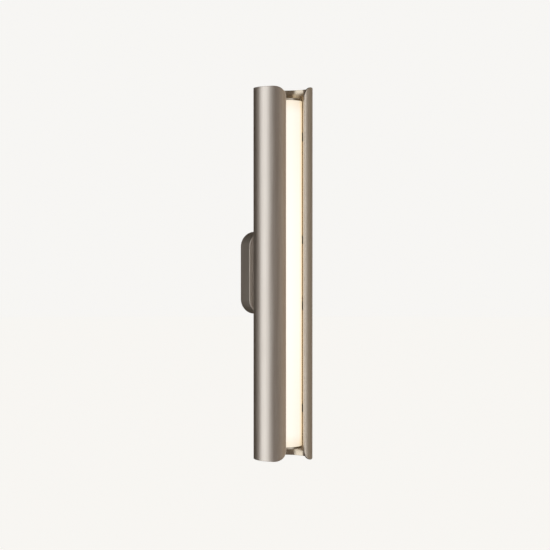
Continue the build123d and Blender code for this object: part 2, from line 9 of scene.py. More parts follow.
import bpy
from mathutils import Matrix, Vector


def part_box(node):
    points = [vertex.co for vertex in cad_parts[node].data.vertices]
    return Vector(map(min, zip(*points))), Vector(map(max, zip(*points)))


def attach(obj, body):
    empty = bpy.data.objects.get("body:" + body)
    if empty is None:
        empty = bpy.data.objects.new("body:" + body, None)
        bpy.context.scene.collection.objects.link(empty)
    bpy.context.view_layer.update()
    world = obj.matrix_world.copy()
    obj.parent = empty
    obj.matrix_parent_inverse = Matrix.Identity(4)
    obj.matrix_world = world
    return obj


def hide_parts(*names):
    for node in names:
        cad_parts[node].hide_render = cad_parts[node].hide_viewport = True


MM = 0.001
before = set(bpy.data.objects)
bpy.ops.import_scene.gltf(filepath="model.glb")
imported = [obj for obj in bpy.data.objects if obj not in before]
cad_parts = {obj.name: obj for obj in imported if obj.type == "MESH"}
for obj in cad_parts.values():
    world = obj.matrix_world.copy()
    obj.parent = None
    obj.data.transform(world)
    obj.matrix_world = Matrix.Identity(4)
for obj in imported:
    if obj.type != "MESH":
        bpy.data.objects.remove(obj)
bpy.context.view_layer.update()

# %% [markdown]
# Most sizes below come from the CAD pieces themselves, so nothing goes out of step when the model is
# packed again.

# %% Measure the CAD pieces
shell_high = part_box("shell_tube")[1]
opal_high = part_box("opal_cover")[1]

SHELL_RADIUS = shell_high.x
OPAL_RADIUS = opal_high.x
OPAL_HALF = opal_high.z
AXIS_Y = shell_high.y - SHELL_RADIUS
TUBE_CENTRE = Vector((0, AXIS_Y, 0))
print("tube axis at y =", round(AXIS_Y / MM, 2), "mm, shell radius", round(SHELL_RADIUS / MM, 2), "mm")

# %% [markdown]
# ## Camera
# The picture looks at the light from its left, a little above its middle, from over two metres away.
# A far camera with a long lens keeps the tube's sides parallel. The lens could be guessed by eye, but
# its focal length over the sensor's width is the same ratio as the focal length in pixels over the
# picture's width, and the tube's distance and its width in the picture give the focal length in pixels.
# The camera is turned a little away from the tube, because the tube stands right of the middle.

# %% Place the camera
PICTURE_SIDE = 550
FOCAL_PIXELS = 1655
TUBE_PIXEL = (283, 273.7)
CAMERA_DISTANCE = 2.244
CAMERA_RISE = 0.050
CAMERA_AZIMUTH = math.radians(-26)
SENSOR_WIDTH = 36
NEAREST_SEEN = 0.1
FARTHEST_SEEN = 60

camera_data = bpy.data.cameras.new("camera")
camera_data.sensor_width = SENSOR_WIDTH
camera_data.lens = FOCAL_PIXELS / PICTURE_SIDE * SENSOR_WIDTH
camera_data.clip_start = NEAREST_SEEN
camera_data.clip_end = FARTHEST_SEEN
camera = bpy.data.objects.new("camera", camera_data)
bpy.context.scene.collection.objects.link(camera)
bpy.context.scene.camera = camera

from_tube = Vector((math.sin(CAMERA_AZIMUTH), -math.cos(CAMERA_AZIMUTH), 0))
camera.location = TUBE_CENTRE + from_tube * CAMERA_DISTANCE + Vector((0, 0, CAMERA_RISE))
right_shift = (TUBE_PIXEL[0] - PICTURE_SIDE / 2) / FOCAL_PIXELS
rise_shift = (PICTURE_SIDE / 2 - TUBE_PIXEL[1]) / FOCAL_PIXELS
pan = math.atan(right_shift)
tilt = math.atan(CAMERA_RISE / CAMERA_DISTANCE) + math.atan(rise_shift)
camera.rotation_euler = (math.pi / 2 - tilt, 0, CAMERA_AZIMUTH + pan)
bpy.context.scene.view_settings.view_transform = "Standard"
print("lens", round(camera_data.lens, 1), "mm, tilt", round(math.degrees(tilt), 2), "degrees")

# %% [markdown]
# ## Background
# Behind the light is nothing but one pale tone. A curved backdrop could make it, but the light is looked
# at from all sides, so the world is the backdrop. A Light Path node tells the rays that are seen,
# straight or mirrored in metal, from the rays that only carry light: the seen ones find the pale tone,
# and the others find a dimmer studio.

# %% Background
PALE = (0.93, 0.92, 0.90, 1)
FILL_STRENGTH = 0.6


def seen_rays(tree):
    """A socket that is 1 for camera, glossy and transmission rays, and 0 for the others."""
    path = tree.nodes.new("ShaderNodeLightPath")
    seen = path.outputs["Is Camera Ray"]
    for kind in ("Is Glossy Ray", "Is Transmission Ray"):
        larger = tree.nodes.new("ShaderNodeMath")
        larger.operation = "MAXIMUM"
        tree.links.new(seen, larger.inputs[0])
        tree.links.new(path.outputs[kind], larger.inputs[1])
        seen = larger.outputs["Value"]
    return seen


def strength_from(tree, unseen_strength, seen_strength):
    """A socket that gives one strength to seen rays and another to the others."""
    strength = tree.nodes.new("ShaderNodeMapRange")
    strength.inputs["To Min"].default_value = unseen_strength
    strength.inputs["To Max"].default_value = seen_strength
    tree.links.new(seen_rays(tree), strength.inputs["Value"])
    return strength.outputs["Result"]


world = bpy.data.worlds.new("studio")
bpy.context.scene.world = world
world.use_nodes = True
world_tree = world.node_tree
backdrop = world_tree.nodes["Background"]
backdrop.inputs["Color"].default_value = PALE
world_tree.links.new(strength_from(world_tree, FILL_STRENGTH, 1.0), backdrop.inputs["Strength"])
print("world seen at strength 1, and as a fill light at", FILL_STRENGTH)

# %% [markdown]
# ## Floor
# The light hangs well above a floor of the same pale tone, so that no horizon cuts through the picture.
# The floor already returns a part of the fill light, and its own glow adds only what is missing.

# %% Floor
FLOOR_DROP = 1.5
FLOOR_RADIUS = 30
FLOOR_SIDES = 128


def deselect_all():
    """Keep the next operator off the pieces that are already there."""
    bpy.ops.object.select_all(action="DESELECT")


deselect_all()
bpy.ops.mesh.primitive_circle_add(
    vertices=FLOOR_SIDES, radius=FLOOR_RADIUS, fill_type="NGON", location=(0, 0, -FLOOR_DROP)
)
floor = bpy.context.object
floor.name = "studio_floor"
floor_paint = bpy.data.materials.new("studio_floor")
floor_paint.use_nodes = True
floor_tree = floor_paint.node_tree
floor_shader = floor_tree.nodes["Principled BSDF"]
floor_shader.inputs["Base Color"].default_value = PALE
floor_shader.inputs["Roughness"].default_value = 1.0
floor_shader.inputs["Specular IOR Level"].default_value = 0.0
floor_shader.inputs["Emission Color"].default_value = PALE
returned_fill = FILL_STRENGTH * PALE[1]
own_glow = strength_from(floor_tree, 0.0, 1.0 - returned_fill)
floor_tree.links.new(own_glow, floor_shader.inputs["Emission Strength"])
floor.data.materials.append(floor_paint)
print("floor", FLOOR_DROP, "m below the middle of the light")

# %% [markdown]
# ## Lamps around a shiny tube
# Satin metal shows what stands around it. A photographer hangs tall white lamps where the tube should
# be bright and dark cards where it should be dark, and the tube's curve squeezes them into soft upright
# bands. A picture of a studio wrapped round the world could do the same, but lamps and cards are easier
# to move. They stand in a ring and face the tube, and the camera doesn't see them. Each is given by the
# angle at which it stands and by the span of the ring that it covers, because that is what the tube
# shows. Angles, spans and tones were found by trial, until the bands matched those in the photo.

# %% Places in a ring round the tube
RING_RADIUS = 1.3
RING_HEIGHT = 2.9


def round_the_tube(azimuth_degrees, radius=RING_RADIUS):
    """A place round the tube: 0 degrees is straight in front of the slot, 90 is to its right."""
    azimuth = math.radians(azimuth_degrees)
    return TUBE_CENTRE + Vector((math.sin(azimuth), -math.cos(azimuth), 0)) * radius


def ring_width(span_degrees):
    """The width of a flat lamp or card that covers a span of the ring."""
    return 2 * RING_RADIUS * math.tan(math.radians(span_degrees / 2))


def turned(direction):
    """The rotation that turns the face of a lamp or a card in a direction."""
    return direction.to_track_quat("-Z", "Y").to_euler()


print("ring radius", RING_RADIUS, "m, height", RING_HEIGHT, "m")

# %% [markdown]
# ## Two lamps
# The two lamps make the bright bands, a cool one on the left and a warm one on the right. A lamp's power
# is worked out from how bright its face should look, so its size can be changed without a new guess.

# %% Two lamps in the ring
RING_LAMPS = {
    "left_lamp": (-103.5, 36, 0.42, (0.98, 1.0, 1.03)),
    "right_lamp": (57, 26, 0.72, (1.0, 0.94, 0.84)),
}


def add_lamp(name, place, direction, width, height, radiance, colour):
    """A flat lamp that shines in one direction and isn't seen by the camera."""
    data = bpy.data.lights.new(name, "AREA")
    data.shape = "RECTANGLE"
    data.size = width
    data.size_y = height
    data.energy = math.pi * radiance * data.size * data.size_y
    data.color = colour
    lamp = bpy.data.objects.new(name, data)
    lamp.location = place
    lamp.rotation_euler = turned(direction)
    lamp.visible_camera = False
    bpy.context.scene.collection.objects.link(lamp)


for name, (azimuth, span, radiance, colour) in RING_LAMPS.items():
    place = round_the_tube(azimuth)
    add_lamp(name, place, TUBE_CENTRE - place, ring_width(span), RING_HEIGHT, radiance, colour)
print(len(RING_LAMPS), "lamps in the ring")

# %% [markdown]
# ## Cards between the lamps
# A card of paper would depend on the light that falls on it. These cards have a plain emission
# instead, so their tone is just what the metal shows. All tones are nearly neutral, because the metal
# looks like brass between coloured ones.

# %% Paint for the cards
CARD_TONES = {
    "dark": (0.042, 0.032, 0.022, 1),
    "brown": (0.16, 0.13, 0.10, 1),
    "grey": (0.20, 0.168, 0.145, 1),
    "warm": (0.41, 0.32, 0.23, 1),
    "olive": (0.24, 0.195, 0.14, 1),
    "bright": (0.80, 0.74, 0.66, 1),
}


def card_paint(tone, colour):
    """A plain emission of one colour."""
    paint = bpy.data.materials.new("card_" + tone)
    paint.use_nodes = True
    nodes = paint.node_tree.nodes
    nodes.remove(nodes["Principled BSDF"])
    glow = nodes.new("ShaderNodeEmission")
    glow.inputs["Color"].default_value = colour
    paint.node_tree.links.new(glow.outputs["Emission"], nodes["Material Output"].inputs["Surface"])
    return paint


paints = {tone: card_paint(tone, colour) for tone, colour in CARD_TONES.items()}
print("tones:", ", ".join(paints))

# %% [markdown]
# Seven tall cards fill the rest of the ring, and two round ones close it above and below. They are seen
# in reflections only: they throw no light on matt surfaces and cast no shadow, so a card can be changed
# without changing the rest.

# %% Nine cards
LID_SIDES = 64
TALL_CARDS = {
    "left_side_card": (-135, 22, "grey"),
    "left_rear_card": (-167, 42, "dark"),
    "left_front_card": (-56, 42, "grey"),
    "front_card": (-14, 38, "warm"),
    "right_front_card": (25, 34, "bright"),
    "right_rear_card": (100, 62, "olive"),
    "rear_card": (155, 44, "dark"),
}
LID_CARDS = {"card_above": RING_HEIGHT / 2, "card_below": -RING_HEIGHT / 2}


def hang_card(name, paint):
    """Name and paint the card that was just added, and let reflections alone see it."""
    card = bpy.context.object
    card.name = name
    card.data.materials.append(paint)
    card.visible_camera = False
    card.visible_diffuse = False
    card.visible_shadow = False


for name, (azimuth, span, tone) in TALL_CARDS.items():
    place = round_the_tube(azimuth)
    deselect_all()
    bpy.ops.mesh.primitive_plane_add(size=1, location=place, rotation=turned(TUBE_CENTRE - place))
    bpy.context.object.scale = (ring_width(span), RING_HEIGHT, 1)
    hang_card(name, paints[tone])
for name, height in LID_CARDS.items():
    middle = TUBE_CENTRE + Vector((0, 0, height))
    deselect_all()
    bpy.ops.mesh.primitive_circle_add(
        vertices=LID_SIDES, radius=RING_RADIUS, fill_type="NGON", location=middle
    )
    hang_card(name, paints["brown"])
print(len(TALL_CARDS), "tall cards and", len(LID_CARDS), "lid cards")

# %% [markdown]
# ## Glow on the bore
# The opal tube lights the bore of the shell. In the picture its face may be no brighter than white, so
# its own emission is too weak for that. Two slim lamps in the gaps beside it do the work: they are as
# tall as the opal tube and shine away from it. They are staging, and their strength was fitted to the
# tones that the photo has on the bore.

# %% Two slim lamps beside the opal tube
GLOW_AZIMUTHS = {"left_glow": -80, "right_glow": 80}
GLOW_WIDTH = 24 * MM
GLOW_GAP = 3 * MM
GLOW_RADIANCE = 0.8
GLOW_COLOUR = (1.0, 0.86, 0.66)
for name, azimuth in GLOW_AZIMUTHS.items():
    place = round_the_tube(azimuth, OPAL_RADIUS + GLOW_GAP)
    add_lamp(name, place, place - TUBE_CENTRE, GLOW_WIDTH, 2 * OPAL_HALF, GLOW_RADIANCE, GLOW_COLOUR)
print("glow lamps", round(2 * OPAL_HALF / MM), "mm tall")

# %% [markdown]
# ## Writing shader maths
# A finish is a small network of nodes. Wiring each one by hand takes a line for the node and one for
# every link. The class below wraps a socket, so that `1 - mask * 0.4` adds the Math nodes by itself, and
# one method adds any other node with its settings and its inputs.


# %% A socket that does arithmetic
class Socket:
    """One output in a material. Arithmetic on it adds Math nodes."""

    def __init__(self, tree, output=None):
        self.tree = tree
        self.output = output

    def node(self, kind, inputs, settings=None, output=0):
        """Add a node. Its settings are set first, then each input gets a plain value or a Socket."""
        made = self.tree.nodes.new(kind)
        for name, value in (settings or {}).items():
            setattr(made, name, value)
        for key, value in inputs.items():
            self.feed(made.inputs[key], value)
        return Socket(self.tree, made.outputs[output])

    def feed(self, target, value):
        """Link a Socket to an input, or set the input to a plain value."""
        if isinstance(value, Socket):
            self.tree.links.new(value.output, target)
        else:
            target.default_value = value

    def math(self, operation, *values):
        """A Math node on these values."""
        return self.node("ShaderNodeMath", dict(enumerate(values)), {"operation": operation})

    def __add__(self, other):
        return self.math("ADD", self, other)

    __radd__ = __add__

    def __mul__(self, other):
        return self.math("MULTIPLY", self, other)

    __rmul__ = __mul__

    def __rsub__(self, other):
        return self.math("SUBTRACT", other, self)

    def __truediv__(self, other):
        return self.math("DIVIDE", self, other)

    def __abs__(self):
        return self.math("ABSOLUTE", self)

    def at_most(self, limit):
        return self.math("MINIMUM", self, limit)

    def fade(self, start, end):
        """0 up to start, 1 from end, and smooth in between."""
        inputs = {"Value": self, "From Min": start, "From Max": end}
        return self.node("ShaderNodeMapRange", inputs, {"interpolation_type": "SMOOTHSTEP"})

    def part(self, axis):
        """The X, Y or Z of a vector."""
        return self.node("ShaderNodeSeparateXYZ", {"Vector": self}, output=axis)


# %% [markdown]
# ## Starting a finish
# Every finish starts with one Principled shader. What is the same all over is set on the shader's own
# inputs, and only what changes over the surface is wired. Patterns read Object coordinates, which are
# metres in the shared frame, so a pattern has the same size on every piece, and the scale of a noise is
# a number of spots per metre.


# %% Start a finish
class Finish:
    """A material, its Principled shader and its Object coordinates."""

    def __init__(self, name, colour, roughness, metallic=0.0):
        self.material = bpy.data.materials.new(name)
        self.material.use_nodes = True
        tree = self.material.node_tree
        self.shader = tree.nodes["Principled BSDF"]
        self.start = Socket(tree)
        self.position = self.start.node("ShaderNodeTexCoord", {}, output="Object")
        self.set("Base Color", (*colour, 1))
        self.set("Roughness", roughness)
        self.set("Metallic", metallic)

    def set(self, key, value):
        """Give an input of the shader a plain value or a Socket."""
        self.start.feed(self.shader.inputs[key], value)

    def placed(self, scale, shift=(0, 0, 0)):
        """Object coordinates that are stretched and then shifted."""
        inputs = {"Vector": self.position, "Scale": scale, "Location": shift}
        return self.start.node("ShaderNodeMapping", inputs)

    def noise(self, vector, scale, detail=2.0):
        """Soft spots between 0 and 1. More detail gives them finer edges."""
        inputs = {"Vector": vector, "Scale": scale, "Detail": detail}
        return self.start.node("ShaderNodeTexNoise", inputs)

    def mix(self, factor, first, second):
        """A colour between first and second. In a colour mix, 6 and 7 are the two colours."""
        inputs = {0: factor, 6: first, 7: second}
        return self.start.node("ShaderNodeMix", inputs, {"data_type": "RGBA"}, output=2)

    def bump(self, height, distance, strength):
        """Raise the surface by up to a distance where the height is 1."""
        inputs = {"Height": height, "Distance": distance, "Strength": strength}
        self.set("Normal", self.start.node("ShaderNodeBump", inputs))


def dress(finish, *nodes):
    """Give a finish to CAD pieces."""
    for name in nodes:
        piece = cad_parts[name]
        piece.data.materials.clear()
        piece.data.materials.append(finish.material)
    print(finish.material.name, "->", ", ".join(nodes))


# %% [markdown]
# ## Satin brushed nickel
# The shell, the canopy and the saddle between them are brushed upright, along the tube. An image of
# scratches could be wrapped round them, but noise that is drawn out along the tube makes scratches of
# any size and without a seam. Fine scratches carry the sheen, broader ones make the faint streaks, and
# wide clouds keep it from looking printed. The canopy came out lighter than in the photo with the
# shell's finish, so its own is a little rougher and a tenth darker. The tenth darker is painted shade,
# for the shade on the canopy and the saddle behind the shell. Those two values, like the shell's, were
# fitted to the photo by tone, and nothing says why the real metals would differ.

# %% Brushed nickel
NICKEL = (0.63, 0.585, 0.54)
NICKEL_PALE = (0.67, 0.63, 0.585)
FINE_SCRATCHES = 2600
BROAD_SCRATCHES = 420
CLOUDS = 18
FINE_DRAWN = (1, 1, 0.012)
BROAD_DRAWN = (1, 1, 0.02)
SCRATCH_DEPTH = 0.02 * MM
SCRATCH_RELIEF = 0.5
FINE_SHEEN = 0.07
BROAD_SHEEN = 0.07
CLOUD_SHEEN = 0.04
SHELL_SMOOTHEST = 0.27
CANOPY_SMOOTHEST = 0.32
# Painted shade: the canopy and the saddle take a colour a tenth darker than the shell's.
CANOPY_PAINTED_SHADE = 0.9


def brushed_nickel(name, smoothest, tone=1.0):
    """Nickel brushed upright. Its colour and sheen stay at hand, so that a mask can change them."""
    nickel = Finish(name, NICKEL, smoothest, metallic=1.0)
    # A tone below 1 darkens the whole colour. The canopy's tone is painted shade.
    dark = [tone * part for part in NICKEL]
    pale = [tone * part for part in NICKEL_PALE]
    fine_lines = nickel.noise(nickel.placed(FINE_DRAWN), FINE_SCRATCHES, detail=3)
    broad_lines = nickel.noise(nickel.placed(BROAD_DRAWN), BROAD_SCRATCHES)
    clouds = nickel.noise(nickel.position, CLOUDS)
    scratches = FINE_SHEEN * fine_lines + BROAD_SHEEN * broad_lines
    nickel.sheen = smoothest + scratches + CLOUD_SHEEN * clouds
    nickel.colour = nickel.mix(broad_lines.fade(0.35, 0.65), (*dark, 1), (*pale, 1))
    nickel.set("Roughness", nickel.sheen)
    nickel.set("Base Color", nickel.colour)
    nickel.bump(0.7 * fine_lines + 0.3 * broad_lines, SCRATCH_DEPTH, SCRATCH_RELIEF)
    return nickel


canopy_nickel = brushed_nickel("brushed_nickel_canopy", CANOPY_SMOOTHEST, CANOPY_PAINTED_SHADE)
dress(canopy_nickel, "canopy", "saddle_block")

# %% [markdown]
# ## Bore of the shell
# In the photo the bore has harder and warmer patches than the outside. A smoother finish gives the
# harder patches here, and the bore's warmer colour is painted glow: it stands in for the opal tube's
# warm light on the bore. The smoothness is a fit and a guess: a tube that is brushed only outside would
# look so. The bore belongs to the same piece as the outside, so a mask picks it out by its distance
# from the tube's axis. A Mapping node moves that axis to zero and flattens the height, and what is left
# is as long as the distance.

# %% Brushed outside, smoother inside
SHELL_WALL = 3.5 * MM
BORE_RADIUS = SHELL_RADIUS - SHELL_WALL
SKIN_START = 0.05 * MM
SKIN_END = 0.3 * MM
# Painted glow: the bore's warmer colour stands in for the opal tube's warm light on it.
BORE_NICKEL_PAINTED_GLOW = (0.60, 0.53, 0.43, 1)
BORE_SMOOTHNESS = 0.6

shell_nickel = brushed_nickel("brushed_nickel", SHELL_SMOOTHEST)
across = shell_nickel.placed((1, 1, 0), shift=(0, -AXIS_Y, 0))
from_axis = across.node("ShaderNodeVectorMath", {0: across}, {"operation": "LENGTH"}, output="Value")
outside = from_axis.fade(BORE_RADIUS + SKIN_START, BORE_RADIUS + SKIN_END)
# The bore gets the painted warm glow, and the outside keeps its brushed colour.
shell_nickel.set("Base Color", shell_nickel.mix(outside, BORE_NICKEL_PAINTED_GLOW, shell_nickel.colour))
shell_nickel.set("Roughness", shell_nickel.sheen * (1 - BORE_SMOOTHNESS * (1 - outside)))
dress(shell_nickel, "shell_tube")

# %% [markdown]
# ## Opal cover
# The light board shines forward, so the front of the opal tube is the brightest, and its sides and ends
# are a little dimmer and warmer. A plain emission would look like a flat white strip, so its colour
# fades with the distance from the middle, both sideways and up and down. The last two centimetres
# before the caps are the warmest.

# %% Opal cover
GLOW_FRONT = (0.92, 0.87, 0.79, 1)
GLOW_SIDE = (0.70, 0.56, 0.37, 1)
SIDE_WARMTH = 0.9
END_WARMTH = 0.15
CAP_WARMTH = 0.4
OPAL_SMOOTHEST = 0.27
OPAL_SPREAD = 0.10
OPAL_GRAIN = 1400

opal = Finish("opal_diffuser", (0.36, 0.35, 0.33), OPAL_SMOOTHEST)
sideways = abs(opal.position.part("X")) / OPAL_RADIUS
endways = abs(opal.position.part("Z")) / OPAL_HALF
warm_sides = SIDE_WARMTH * sideways.fade(0.45, 0.95)
warm_ends = END_WARMTH * endways.fade(0.2, 0.95) + CAP_WARMTH * endways.fade(0.92, 1.0)
warmth = (warm_sides + warm_ends).at_most(1.0)
opal.set("Emission Color", opal.mix(warmth, GLOW_FRONT, GLOW_SIDE))
opal.set("Emission Strength", 1.0)
opal.set("Roughness", OPAL_SMOOTHEST + OPAL_SPREAD * opal.noise(opal.position, OPAL_GRAIN))
dress(opal, "opal_cover")

# %% [markdown]
# ## Caps, brass and screws
# Most pieces inside hardly show while the light is whole, but they have their real finish for anyone who
# opens the model. The satin caps, the brass clamps and the zinc-plated screws differ only in colour,
# sheen and grain, so one function makes all three.


# %% Caps, brass and screws
def grained_metal(name, colour, smoothest, spread, grain_scale):
    """A metal with a fine grain that makes it rougher by up to spread."""
    metal = Finish(name, colour, smoothest, metallic=1.0)
    metal.set("Roughness", smoothest + spread * metal.noise(metal.position, grain_scale))
    return metal


dress(
    grained_metal("satin_cap", (0.60, 0.57, 0.53), 0.34, 0.10, 3000),
    "top_end_cap", "bottom_end_cap",
)
dress(
    grained_metal("terminal_brass", (0.80, 0.62, 0.30), 0.22, 0.14, 1500),
    "terminal_tubes", "earth_ring",
)
screw_zinc = grained_metal("screw_steel", (0.70, 0.70, 0.70), 0.22, 0.12, 1800)
dress(
    screw_zinc, "end_cap_screws", "fixing_screws", "fixing_washers", "end_fixing_screws",
    "canopy_screws", "driver_screws", "terminal_screws", "terminal_fixing_screw",
    "earth_stud", "earth_nut",
)

# %% [markdown]
# ## Spine and wall plate
# The spine is an extrusion with the faint lines of its die, so its noise is drawn out like the scratches
# of the shell. The wall plate is a zinc-plated sheet. It has flat crystals, each with a tone of its own,
# and the cells of a Voronoi texture are like that.

# %% Spine and wall plate
MILL_DRAWN = (1, 1, 0.004)
MILL_LINES = 1500
MILL_SMOOTHEST = 0.22
MILL_SPREAD = 0.2
MILL_DEPTH = 0.015 * MM
MILL_RELIEF = 0.5
mill = Finish("spine_aluminium", (0.78, 0.78, 0.79), MILL_SMOOTHEST, metallic=1.0)
die_lines = mill.noise(mill.placed(MILL_DRAWN), MILL_LINES, detail=3)
mill.set("Roughness", MILL_SMOOTHEST + MILL_SPREAD * die_lines)
mill.bump(die_lines, MILL_DEPTH, MILL_RELIEF)
dress(mill, "spine_profile", "spine_spacers")

CRYSTAL_DARK = (0.64, 0.65, 0.67, 1)
CRYSTAL_PALE = (0.76, 0.77, 0.78, 1)
CRYSTALS = 260.0
PLATE_SMOOTHEST = 0.28
PLATE_SPREAD = 0.16
zinc = Finish("plate_steel", (0.70, 0.71, 0.72), PLATE_SMOOTHEST, metallic=1.0)
crystals = zinc.start.node(
    "ShaderNodeTexVoronoi", {"Vector": zinc.position, "Scale": CRYSTALS}, output="Color"
)
crystal_tone = zinc.start.node("ShaderNodeSeparateColor", {"Color": crystals})
zinc.set("Roughness", PLATE_SMOOTHEST + PLATE_SPREAD * crystal_tone)
zinc.set("Base Color", zinc.mix(crystal_tone, CRYSTAL_DARK, CRYSTAL_PALE))
dress(zinc, "wall_plate")

# %% [markdown]
# ## Plastics and boards
# The driver's case, the terminal block, the rubber parts and the boards are moulded or coated, and all
# have a fine grain. One function gives it to them, with a tiny bump.

# %% Plastics and boards
GRAIN_SPREAD = 0.12
GRAIN_RELIEF = 0.4


def moulded(name, colour, roughness, grain_scale=1800, grain_depth=0.02 * MM):
    """A moulded finish with a fine grain."""
    finish = Finish(name, colour, roughness)
    grain = finish.noise(finish.position, grain_scale)
    finish.set("Roughness", roughness - GRAIN_SPREAD / 2 + GRAIN_SPREAD * grain)
    finish.bump(grain, grain_depth, GRAIN_RELIEF)
    return finish


rubber = moulded("black_rubber", (0.022, 0.022, 0.022), 0.75, 1200, 0.04 * MM)
dress(rubber, "lead_grommet", "entry_bush")
dress(moulded("driver_plastic", (0.82, 0.82, 0.80), 0.5), "driver_case", "driver_lid")
dress(moulded("terminal_plastic", (0.84, 0.83, 0.78), 0.42), "terminal_block")
dress(moulded("board_white", (0.90, 0.90, 0.88), 0.35), "led_board")
dress(moulded("board_green", (0.03, 0.16, 0.06), 0.3), "driver_board")

# %% [markdown]
# ## Light sources
# Each light source is a small window of yellow phosphor. It glows evenly, and only its own colour is a
# little grainy.

# %% Light sources
PHOSPHOR_DARK = (0.95, 0.74, 0.26)
PHOSPHOR_PALE = (0.98, 0.86, 0.46)
PHOSPHOR_GLOW = (1.0, 0.86, 0.55)
PHOSPHOR_STRENGTH = 2.0
PHOSPHOR_GRAIN = 4000
light_source = Finish("light_source", PHOSPHOR_DARK, 0.25)
grains = light_source.noise(light_source.position, PHOSPHOR_GRAIN)
light_source.set("Base Color", light_source.mix(grains, (*PHOSPHOR_DARK, 1), (*PHOSPHOR_PALE, 1)))
light_source.set("Emission Color", (*PHOSPHOR_GLOW, 1))
light_source.set("Emission Strength", PHOSPHOR_STRENGTH)
dress(light_source, "led_chips")

# %% [markdown]
# ## Leads
# Each lead has a sleeve in the colour of its duty, and the earth lead is green and yellow. A stripe
# that is painted by place would need the lead's route, but the sides of a lead also differ in where
# their surface faces. So it is green where it faces left or right, and yellow in between.

# %% Leads
SLEEVE_ROUGHNESS = 0.32
SLEEVES = {
    "live_lead": ("lead_brown", (0.10, 0.035, 0.012)),
    "neutral_lead": ("lead_blue", (0.02, 0.07, 0.32)),
    "led_lead_positive": ("lead_red", (0.38, 0.012, 0.010)),
    "led_lead_negative": ("lead_black", (0.012, 0.012, 0.012)),
}
EARTH_GREEN = (0.05, 0.26, 0.03)
EARTH_YELLOW = (0.75, 0.60, 0.02)

for lead, (name, colour) in SLEEVES.items():
    dress(moulded(name, colour, SLEEVE_ROUGHNESS), lead)

earth_sleeve = moulded("lead_green", EARTH_GREEN, SLEEVE_ROUGHNESS)
facing = earth_sleeve.start.node("ShaderNodeNewGeometry", {}, output="Normal")
green = abs(facing.part("X")).fade(0.55, 0.65)
earth_sleeve.set("Base Color", earth_sleeve.mix(green, (*EARTH_YELLOW, 1), (*EARTH_GREEN, 1)))
dress(earth_sleeve, "earth_lead")

# %% [markdown]
# ## Tools for modelling
# The screws below are modelled with Blender's own operators, as by hand. An operator works on whatever
# is selected, so one helper selects a single piece, and another opens it in edit mode with just those
# faces, edges or vertices selected whose middle passes a test.


# %% Select and pick
def only(piece):
    """Make one piece the only selected one, and the active one."""
    deselect_all()
    piece.select_set(True)
    bpy.context.view_layer.objects.active = piece


def pick(piece, kind, wanted):
    """Open a piece in edit mode with its vertices, edges or faces selected that are wanted."""
    only(piece)
    bpy.ops.object.mode_set(mode="EDIT")
    bpy.ops.mesh.select_mode(type=kind)
    bpy.ops.mesh.select_all(action="DESELECT")
    bpy.ops.object.mode_set(mode="OBJECT")
    mesh = piece.data
    if kind == "VERT":
        for vertex in mesh.vertices:
            vertex.select = wanted(vertex.co)
    else:
        for element in mesh.edges if kind == "EDGE" else mesh.polygons:
            corners = [mesh.vertices[index].co for index in element.vertices]
            element.select = wanted(sum(corners, Vector()) / len(corners))
    bpy.ops.object.mode_set(mode="EDIT")


def settle(piece):
    """Put the piece's place, turn and scale into its mesh."""
    only(piece)
    bpy.ops.object.transform_apply(location=True, rotation=True, scale=True)
    return piece


def carve(piece, cutter, operation="DIFFERENCE"):
    """Cut a piece with a cutter, or keep what they share. The cutter is used up."""
    only(piece)
    cut = piece.modifiers.new("cut", "BOOLEAN")
    cut.object = cutter
    cut.operation = operation
    cut.solver = "EXACT"
    bpy.ops.object.modifier_apply(modifier=cut.name)
    bpy.data.objects.remove(cutter)


def join(pieces):
    """Join pieces into the first one."""
    only(pieces[0])
    for piece in pieces[1:]:
        piece.select_set(True)
    bpy.ops.object.join()
    return pieces[0]


# %% [markdown]
# ## Threads
# In the CAD model a screw is a plain shank under a plain head. A real one has a thread and a cross for
# the screwdriver. Each kind of screw is modelled once, upright with its head on top, and copied to every
# place where the CAD model has one.
#
# A thread could be a stack of rings, but rings don't climb. Here a small diamond loses its inner corner
# and becomes the V of a single pitch. The Screw modifier then turns it round the axis and lifts it by
# one pitch per turn. Where two turns meet they share their edges, so close vertices are merged.

# %% Threaded shank
TURN_STEPS = 20


def threaded_shank(radius, pitch, top, length):
    """A right-hand thread that hangs down from z = top."""
    deselect_all()
    bpy.ops.mesh.primitive_circle_add(
        vertices=4,
        radius=pitch / 2,
        rotation=(math.pi / 2, 0, 0),
        location=(radius - pitch / 2, 0, top - length + pitch / 2),
    )
    shank = settle(bpy.context.object)
    pick(shank, "VERT", lambda corner: corner.x < radius - 0.9 * pitch)
    bpy.ops.mesh.delete(type="VERT")
    bpy.ops.object.mode_set(mode="OBJECT")
    climb = shank.modifiers.new("climb", "SCREW")
    climb.axis = "Z"
    climb.screw_offset = pitch
    climb.iterations = int(length / pitch)
    climb.steps = TURN_STEPS
    climb.render_steps = TURN_STEPS
    bpy.ops.object.modifier_apply(modifier=climb.name)
    bpy.ops.object.mode_set(mode="EDIT")
    bpy.ops.mesh.select_all(action="SELECT")
    bpy.ops.mesh.remove_doubles(threshold=pitch / 50)
    bpy.ops.mesh.fill_holes(sides=0)
    bpy.ops.mesh.normals_make_consistent(inside=False)
    bpy.ops.object.mode_set(mode="OBJECT")
    return shank


# %% [markdown]
# ## Drives
# A screwdriver's cross gets narrower on its way down. It could be drawn on the head and extruded
# inwards, but a cutter is easier to move and to turn: a box with a smaller lower end is taken out of the
# head twice, the second time turned by a quarter. The same cutter without its taper makes a slot. The
# length, width and depth of a drive are shares of its head's radius.

# %% Cutters for drives
CROSS_LENGTH = 1.15
CROSS_WIDTH = 0.3
CROSS_DEPTH = 0.5
CROSS_TAPER = 0.5


